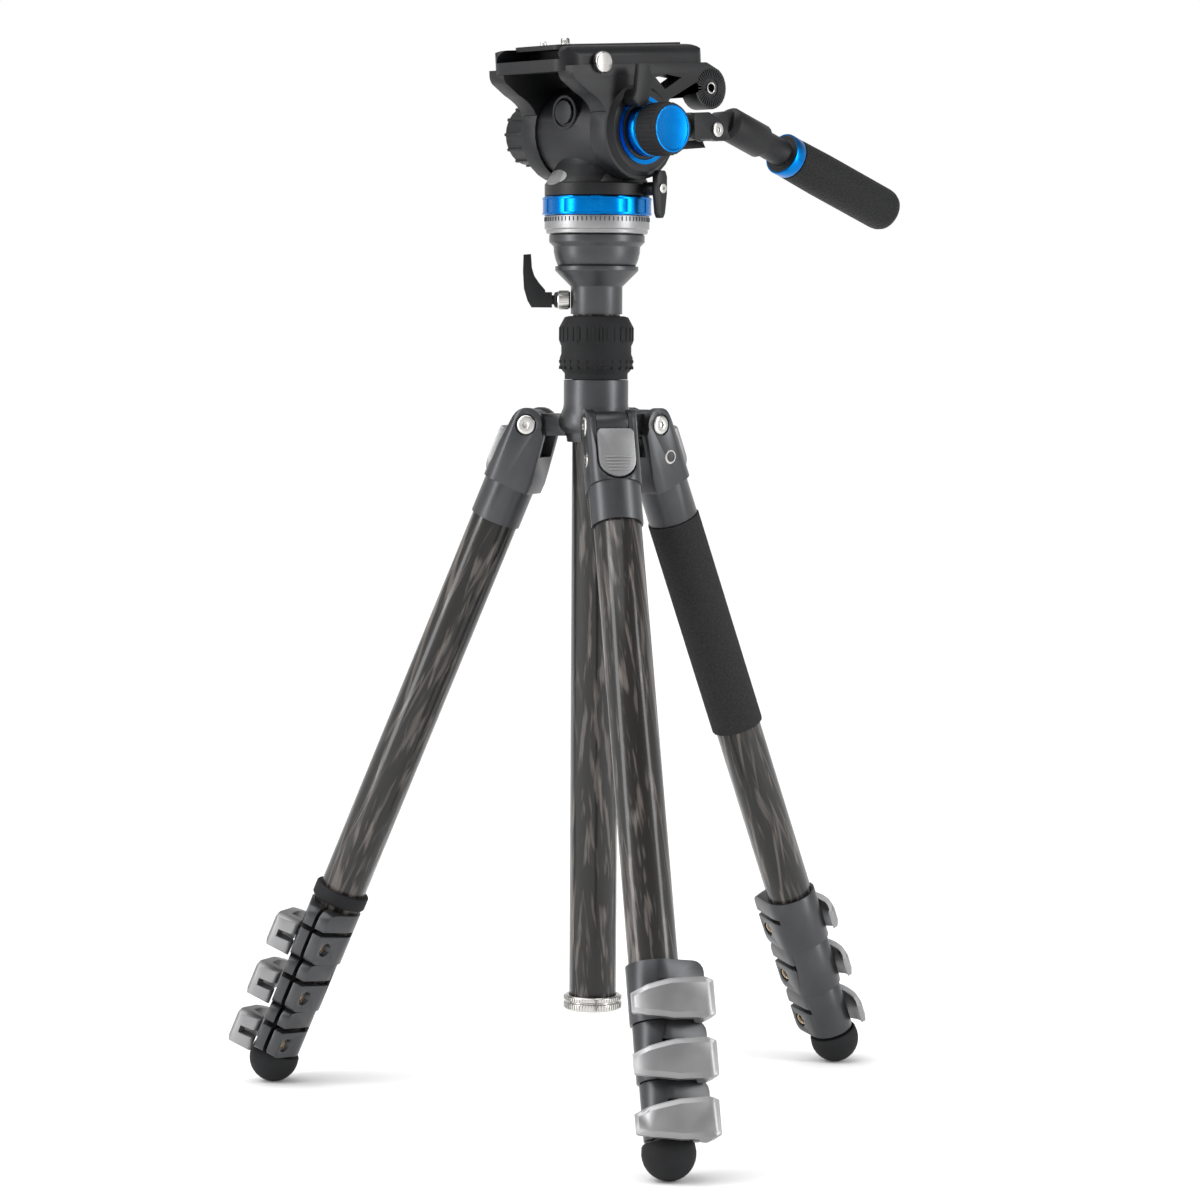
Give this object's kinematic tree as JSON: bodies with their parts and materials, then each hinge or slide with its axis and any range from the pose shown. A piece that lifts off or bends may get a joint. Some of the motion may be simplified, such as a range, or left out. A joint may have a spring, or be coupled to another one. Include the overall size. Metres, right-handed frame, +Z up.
{
  "type": "tripod with fluid head",
  "caption": "Video tripod with telescopic carbon legs on flip locks, a sliding centre column with a levelling half ball, and a fluid pan-and-tilt head with a pan bar.",
  "frame": {"origin": "on the floor, under the centre of the whole object's box", "axes": "+Z up along the centre column; the camera's lens side is -Y and the pan bar points back along +Y; +X is the side of the blue drag knob"},
  "size_m": [0.4664, 0.496, 0.7263],
  "materials": {
    "satin_grey": "satin",
    "black_metal": "satin",
    "light_alloy": "satin",
    "bright_alloy": "machined",
    "blue_alloy": "anodised",
    "carbon_tube": "satin lacquer",
    "rubber": "matte",
    "foam": "matte",
    "head_casing": "satin"
  },
  "bodies": {
    "hub": {"hub": "satin_grey"},
    "left_leg": {"left_leg_shoulder": "satin_grey", "left_leg_tube_1": "carbon_tube", "left_leg_clamp_1": "satin_grey"},
    "left_leg_angle_tab": {"left_leg_angle_tab": "light_alloy"},
    "left_leg_section_2": {"left_leg_tube_2": "carbon_tube", "left_leg_clamp_2": "satin_grey"},
    "left_leg_section_3": {"left_leg_tube_3": "carbon_tube", "left_leg_clamp_3": "satin_grey"},
    "left_leg_section_4": {"left_leg_tube_4": "carbon_tube", "left_leg_foot": "rubber"},
    "left_leg_lever_1": {"left_leg_lever_1": "light_alloy"},
    "left_leg_lever_2": {"left_leg_lever_2": "light_alloy"},
    "left_leg_lever_3": {"left_leg_lever_3": "light_alloy"},
    "rear_leg": {"rear_leg_shoulder": "satin_grey", "rear_leg_tube_1": "carbon_tube", "rear_leg_clamp_1": "satin_grey", "rear_leg_foam_sleeve": "foam"},
    "rear_leg_angle_tab": {"rear_leg_angle_tab": "light_alloy"},
    "rear_leg_section_2": {"rear_leg_tube_2": "carbon_tube", "rear_leg_clamp_2": "satin_grey"},
    "rear_leg_section_3": {"rear_leg_tube_3": "carbon_tube", "rear_leg_clamp_3": "satin_grey"},
    "rear_leg_section_4": {"rear_leg_tube_4": "carbon_tube", "rear_leg_foot": "rubber"},
    "rear_leg_lever_1": {"rear_leg_lever_1": "light_alloy"},
    "rear_leg_lever_2": {"rear_leg_lever_2": "light_alloy"},
    "rear_leg_lever_3": {"rear_leg_lever_3": "light_alloy"},
    "right_leg": {"right_leg_shoulder": "satin_grey", "right_leg_tube_1": "carbon_tube", "right_leg_clamp_1": "satin_grey"},
    "right_leg_angle_tab": {"right_leg_angle_tab": "light_alloy"},
    "right_leg_section_2": {"right_leg_tube_2": "carbon_tube", "right_leg_clamp_2": "satin_grey"},
    "right_leg_section_3": {"right_leg_tube_3": "carbon_tube", "right_leg_clamp_3": "satin_grey"},
    "right_leg_section_4": {"right_leg_tube_4": "carbon_tube", "right_leg_foot": "rubber"},
    "right_leg_lever_1": {"right_leg_lever_1": "light_alloy"},
    "right_leg_lever_2": {"right_leg_lever_2": "light_alloy"},
    "right_leg_lever_3": {"right_leg_lever_3": "light_alloy"},
    "lock_collar": {"column_lock_collar": "rubber"},
    "column": {"centre_column": "carbon_tube", "column_end_ring": "bright_alloy"},
    "clamp_shoe": {"level_clamp_shoe": "black_metal"},
    "ball": {"level_ball": "satin_grey", "base_ring": "light_alloy"},
    "level_lever": {"level_lever": "black_metal"},
    "pan_drag_ring": {"pan_drag_ring": "blue_alloy"},
    "pan_body": {"pan_body": "head_casing"},
    "pan_lever": {"pan_lever": "head_casing"},
    "counterbalance_knob": {"counterbalance_knob": "head_casing"},
    "drag_knob": {"drag_knob": "blue_alloy"},
    "carriage": {"tilt_carriage": "head_casing"},
    "tilt_lever": {"tilt_lever": "black_metal"},
    "camera_plate": {"camera_plate": "black_metal"},
    "plate_lock_knob": {"plate_lock_knob": "bright_alloy"},
    "bar_carrier": {"bar_carrier": "head_casing"},
    "bar_clamp_lever": {"bar_clamp_lever": "black_metal"},
    "pan_bar": {"pan_bar": "rubber"}
  },
  "joints": [
    {"name": "left_leg_spread", "type": "hinge", "parent": "hub", "child": "left_leg", "pos_m": [0.03456, -0.12236, 0.4664], "axis": [-0.5262, -0.8504, 0], "range_deg": [-22, 57]},
    {"name": "left_leg_angle_tab_swing", "type": "hinge", "parent": "left_leg", "child": "left_leg_angle_tab", "pos_m": [0.05085, -0.13244, 0.46155], "axis": [-0.5262, -0.8504, 0], "range_deg": [0, 20], "stiffness_Nm_per_rad": 0.05},
    {"name": "left_leg_lever_1_flip", "type": "hinge", "parent": "left_leg", "child": "left_leg_lever_1", "pos_m": [0.19376, -0.19147, 0.10884], "axis": [-0.335, 0.2073, 0.9191], "range_deg": [0, 100]},
    {"name": "left_leg_lever_2_flip", "type": "hinge", "parent": "left_leg_section_2", "child": "left_leg_lever_2", "pos_m": [0.20595, -0.20066, 0.07336], "axis": [-0.335, 0.2073, 0.9191], "range_deg": [0, 100]},
    {"name": "left_leg_lever_3_flip", "type": "hinge", "parent": "left_leg_section_3", "child": "left_leg_lever_3", "pos_m": [0.21779, -0.20975, 0.03871], "axis": [-0.335, 0.2073, 0.9191], "range_deg": [0, 100]},
    {"name": "left_leg_section_2_slide", "type": "slide", "parent": "left_leg", "child": "left_leg_section_2", "axis": [0.335, -0.2073, -0.9191], "range_m": [0, 0.27]},
    {"name": "left_leg_section_3_slide", "type": "slide", "parent": "left_leg_section_2", "child": "left_leg_section_3", "axis": [0.335, -0.2073, -0.9191], "range_m": [0, 0.27]},
    {"name": "left_leg_section_4_slide", "type": "slide", "parent": "left_leg_section_3", "child": "left_leg_section_4", "axis": [0.335, -0.2073, -0.9191], "range_m": [0, 0.27]},
    {"name": "rear_leg_spread", "type": "hinge", "parent": "hub", "child": "rear_leg", "pos_m": [-0.00184, -0.05461, 0.4664], "axis": [0.9995, -0.0305, 0], "range_deg": [-22, 57]},
    {"name": "rear_leg_angle_tab_swing", "type": "hinge", "parent": "rear_leg", "child": "rear_leg_angle_tab", "pos_m": [-0.00126, -0.03546, 0.46155], "axis": [0.9995, -0.0305, 0], "range_deg": [0, 20], "stiffness_Nm_per_rad": 0.05},
    {"name": "rear_leg_lever_1_flip", "type": "hinge", "parent": "rear_leg", "child": "rear_leg_lever_1", "pos_m": [-0.02158, 0.11782, 0.10884], "axis": [-0.012, -0.3938, 0.9191], "range_deg": [0, 100]},
    {"name": "rear_leg_lever_2_flip", "type": "hinge", "parent": "rear_leg_section_2", "child": "rear_leg_lever_2", "pos_m": [-0.01972, 0.13297, 0.07336], "axis": [-0.012, -0.3938, 0.9191], "range_deg": [0, 100]},
    {"name": "rear_leg_lever_3_flip", "type": "hinge", "parent": "rear_leg_section_3", "child": "rear_leg_lever_3", "pos_m": [-0.01777, 0.14777, 0.03871], "axis": [-0.012, -0.3938, 0.9191], "range_deg": [0, 100]},
    {"name": "rear_leg_section_2_slide", "type": "slide", "parent": "rear_leg", "child": "rear_leg_section_2", "axis": [0.012, 0.3938, -0.9191], "range_m": [0, 0.27]},
    {"name": "rear_leg_section_3_slide", "type": "slide", "parent": "rear_leg_section_2", "child": "rear_leg_section_3", "axis": [0.012, 0.3938, -0.9191], "range_m": [0, 0.27]},
    {"name": "rear_leg_section_4_slide", "type": "slide", "parent": "rear_leg_section_3", "child": "rear_leg_section_4", "axis": [0.012, 0.3938, -0.9191], "range_m": [0, 0.27]},
    {"name": "right_leg_spread", "type": "hinge", "parent": "hub", "child": "right_leg", "pos_m": [-0.04231, -0.12001, 0.4664], "axis": [-0.4733, 0.8809, 0], "range_deg": [-22, 57]},
    {"name": "right_leg_angle_tab_swing", "type": "hinge", "parent": "right_leg", "child": "right_leg_angle_tab", "pos_m": [-0.05918, -0.12907, 0.46155], "axis": [-0.4733, 0.8809, 0], "range_deg": [0, 20], "stiffness_Nm_per_rad": 0.05},
    {"name": "right_leg_lever_1_flip", "type": "hinge", "parent": "right_leg", "child": "right_leg_lever_1", "pos_m": [-0.18176, -0.22332, 0.10884], "axis": [0.347, 0.1865, 0.9191], "range_deg": [0, 100]},
    {"name": "right_leg_lever_2_flip", "type": "hinge", "parent": "right_leg_section_2", "child": "right_leg_lever_2", "pos_m": [-0.19582, -0.22928, 0.07336], "axis": [0.347, 0.1865, 0.9191], "range_deg": [0, 100]},
    {"name": "right_leg_lever_3_flip", "type": "hinge", "parent": "right_leg_section_3", "child": "right_leg_lever_3", "pos_m": [-0.20961, -0.23499, 0.03871], "axis": [0.347, 0.1865, 0.9191], "range_deg": [0, 100]},
    {"name": "right_leg_section_2_slide", "type": "slide", "parent": "right_leg", "child": "right_leg_section_2", "axis": [-0.347, -0.1865, -0.9191], "range_m": [0, 0.27]},
    {"name": "right_leg_section_3_slide", "type": "slide", "parent": "right_leg_section_2", "child": "right_leg_section_3", "axis": [-0.347, -0.1865, -0.9191], "range_m": [0, 0.27]},
    {"name": "right_leg_section_4_slide", "type": "slide", "parent": "right_leg_section_3", "child": "right_leg_section_4", "axis": [-0.347, -0.1865, -0.9191], "range_m": [0, 0.27]},
    {"name": "collar_turn", "type": "hinge", "parent": "hub", "child": "lock_collar", "pos_m": [-0.0032, -0.09899, 0.52], "axis": [0, 0, 1], "range_deg": [-120, 60]},
    {"name": "column_slide", "type": "slide", "parent": "hub", "child": "column", "axis": [0, 0, 1], "range_m": [0, 0.28]},
    {"name": "level_tilt_x", "type": "hinge", "parent": "column", "child": "clamp_shoe", "pos_m": [-0.0032, -0.09899, 0.587], "axis": [1, 0, 0], "range_deg": [-15, 15]},
    {"name": "level_tilt_y", "type": "hinge", "parent": "clamp_shoe", "child": "ball", "pos_m": [-0.0032, -0.09899, 0.587], "axis": [0, 1, 0], "range_deg": [-15, 15]},
    {"name": "level_lever_turn", "type": "hinge", "parent": "column", "child": "level_lever", "pos_m": [-0.02385, -0.12075, 0.551], "axis": [-0.6884, -0.7254, 0], "range_deg": [-60, 90]},
    {"name": "pan_drag_turn", "type": "hinge", "parent": "ball", "child": "pan_drag_ring", "pos_m": [-0.0032, -0.09899, 0.614], "axis": [0, 0, 1], "range_deg": [-90, 90]},
    {"name": "pan", "type": "hinge", "parent": "ball", "child": "pan_body", "pos_m": [-0.0032, -0.09899, 0.625], "axis": [0, 0, 1], "continuous": true},
    {"name": "pan_lever_turn", "type": "hinge", "parent": "pan_body", "child": "pan_lever", "pos_m": [0.0428, -0.08529, 0.6256], "axis": [1, 0, 0], "range_deg": [-60, 90]},
    {"name": "counterbalance_turn", "type": "hinge", "parent": "pan_body", "child": "counterbalance_knob", "pos_m": [-0.0632, -0.09899, 0.664], "axis": [1, 0, 0], "range_deg": [-150, 150]},
    {"name": "drag_turn", "type": "hinge", "parent": "pan_body", "child": "drag_knob", "pos_m": [0.0568, -0.09899, 0.664], "axis": [1, 0, 0], "range_deg": [-150, 150]},
    {"name": "tilt", "type": "hinge", "parent": "pan_body", "child": "carriage", "pos_m": [-0.0032, -0.09899, 0.664], "axis": [1, 0, 0], "range_deg": [-65, 75]},
    {"name": "tilt_lever_turn", "type": "hinge", "parent": "carriage", "child": "tilt_lever", "pos_m": [0.0468, -0.11247, 0.68471], "axis": [1, 0, 0], "range_deg": [-30, 60]},
    {"name": "plate_slide", "type": "slide", "parent": "carriage", "child": "camera_plate", "axis": [0, 0.9976, 0.0698], "range_m": [-0.03, 0.002]},
    {"name": "plate_lock_turn", "type": "hinge", "parent": "carriage", "child": "plate_lock_knob", "pos_m": [0.0398, -0.13578, 0.70694], "axis": [1, 0, 0], "range_deg": [-180, 180]},
    {"name": "bar_carrier_turn", "type": "hinge", "parent": "carriage", "child": "bar_carrier", "pos_m": [-0.0492, -0.03202, 0.69545], "axis": [1, 0, 0], "range_deg": [-60, 60]},
    {"name": "bar_clamp_turn", "type": "hinge", "parent": "bar_carrier", "child": "bar_clamp_lever", "pos_m": [-0.0652, -0.03202, 0.69545], "axis": [1, 0, 0], "range_deg": [-25, 45]},
    {"name": "pan_bar_fold", "type": "hinge", "parent": "bar_carrier", "child": "pan_bar", "pos_m": [-0.0502, 0.05391, 0.67369], "axis": [1, 0, 0], "range_deg": [-60, 70]}
  ]
}
